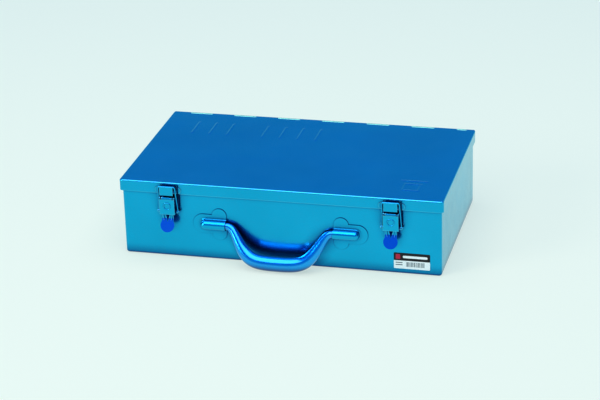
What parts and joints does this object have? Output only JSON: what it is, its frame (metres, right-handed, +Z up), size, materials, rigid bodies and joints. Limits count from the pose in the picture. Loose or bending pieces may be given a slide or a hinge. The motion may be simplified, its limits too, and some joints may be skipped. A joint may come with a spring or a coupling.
{
  "type": "steel tool case",
  "caption": "Flat sheet-steel carrying case with a hinged lid, two toggle latches, a drop handle on the front and a lift-out compartment tray.",
  "frame": {"origin": "centre of the case's underside, on the surface it lies on", "axes": "+X along the hinge to the right seen from the front, +Y to the hinge, +Z up"},
  "size_m": [0.4, 0.2637, 0.0984],
  "materials": {
    "blue_paint": "semi-gloss metallic paint",
    "steel_pin": "plain zinc-plated wire",
    "label": null
  },
  "bodies": {
    "case": {"case_wrap": "blue_paint", "case_floor": "blue_paint", "hinge_pin": "steel_pin", "label": "label", "handle_bracket_left": "blue_paint", "handle_bracket_right": "blue_paint", "latch_bracket_left": "blue_paint", "latch_bracket_right": "blue_paint", "latch_lever_pin_left": "blue_paint", "latch_lever_pin_right": "blue_paint", "tray_ledge_left": "blue_paint", "tray_ledge_right": "blue_paint"},
    "lid": {"lid_shell": "blue_paint", "latch_keeper_left": "blue_paint", "latch_keeper_right": "blue_paint"},
    "handle": {"handle": "blue_paint"},
    "tray": {"tray_pan": "blue_paint", "tray_long_divider": "blue_paint", "tray_cross_divider_left": "blue_paint", "tray_cross_divider_right": "blue_paint"},
    "lever_left": {"latch_lever_left": "blue_paint", "latch_loop_pin_left": "blue_paint"},
    "loop_left": {"latch_loop_left": "blue_paint"},
    "lever_right": {"latch_lever_right": "blue_paint", "latch_loop_pin_right": "blue_paint"},
    "loop_right": {"latch_loop_right": "blue_paint"}
  },
  "joints": [
    {"name": "lid_hinge", "type": "hinge", "parent": "case", "child": "lid", "pos_m": [0, 0.11585, 0.0956], "axis": [-1, 0, 0], "range_deg": [0, 180]},
    {"name": "handle_swing", "type": "hinge", "parent": "case", "child": "handle", "pos_m": [0, -0.1202, 0.047], "axis": [-1, 0, 0], "range_deg": [-12, 145]},
    {"name": "tray_lift", "type": "slide", "parent": "case", "child": "tray", "axis": [0, 0, 1], "range_m": [0, 0.007]},
    {"name": "latch_left_lever", "type": "hinge", "parent": "case", "child": "lever_left", "pos_m": [-0.138, -0.12275, 0.079], "axis": [-1, 0, 0], "range_deg": [0, 100]},
    {"name": "latch_left_loop_swing", "type": "hinge", "parent": "lever_left", "child": "loop_left", "pos_m": [-0.138, -0.11975, 0.0615], "axis": [-1, 0, 0], "range_deg": [-48, 0]},
    {"name": "latch_right_lever", "type": "hinge", "parent": "case", "child": "lever_right", "pos_m": [0.138, -0.12275, 0.079], "axis": [-1, 0, 0], "range_deg": [0, 100]},
    {"name": "latch_right_loop_swing", "type": "hinge", "parent": "lever_right", "child": "loop_right", "pos_m": [0.138, -0.11975, 0.0615], "axis": [-1, 0, 0], "range_deg": [-48, 0]}
  ],
  "couplings": [
    {"joint": "latch_left_loop_swing", "follows": "latch_left_lever", "ratio": -0.478},
    {"joint": "latch_right_loop_swing", "follows": "latch_right_lever", "ratio": -0.478}
  ]
}
